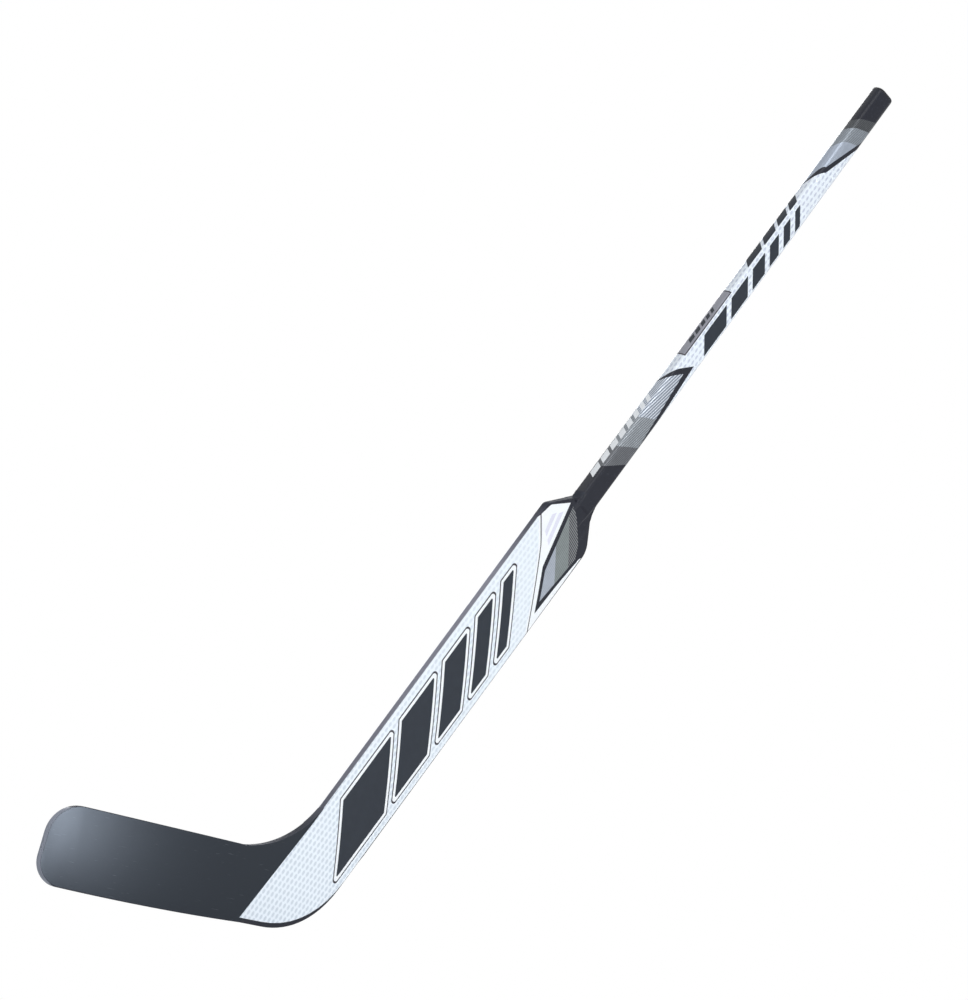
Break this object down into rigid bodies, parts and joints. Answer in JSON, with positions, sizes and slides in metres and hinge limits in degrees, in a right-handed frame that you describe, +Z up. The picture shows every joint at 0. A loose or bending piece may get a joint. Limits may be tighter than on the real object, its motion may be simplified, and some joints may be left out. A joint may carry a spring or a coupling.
{
  "type": "hockey goalie stick",
  "caption": "Goalkeeper's hockey stick with a slim tube shaft, a wide crowned paddle and a low blade that bends back to the toe, for stopping and passing a puck.",
  "frame": {"origin": "on the shaft's axis where the shaft leaves the paddle, which is where the blocker hand holds it", "axes": "+Z up with the sole level, -X from heel to toe, -Y out of the front face, in playing position"},
  "size_m": [0.9199, 0.0433, 0.989],
  "materials": {
    "shaft_laminate": "satin lacquer",
    "white_skin": "printed film under clear lacquer",
    "black_skin": "fine matte",
    "edge_composite": "satin",
    "plug_plastic": "moulded",
    "spine_wood": "sawn",
    "glass_laminate": "bare laminate",
    "core_foam": "rigid foam"
  },
  "bodies": {
    "root": {"shaft_tube": "shaft_laminate", "butt_end_plug": "plug_plastic", "shaft_foam": "core_foam", "paddle_spine": "spine_wood", "paddle_front_skin": "white_skin", "paddle_back_skin": "white_skin", "shoulder_block_upper": "edge_composite", "shoulder_block_lower": "edge_composite", "paddle_upper_rail": "edge_composite", "paddle_lower_rail": "edge_composite", "paddle_core_upper": "core_foam", "paddle_core_lower": "core_foam", "heel_block": "edge_composite", "heel_tongue": "glass_laminate", "blade_front_skin": "black_skin", "blade_back_skin": "black_skin", "blade_sole_strip": "edge_composite", "blade_top_strip": "edge_composite", "blade_toe_block": "edge_composite", "blade_core_upper": "core_foam", "blade_core_lower": "core_foam", "blade_rib": "glass_laminate"}
  },
  "joints": []
}
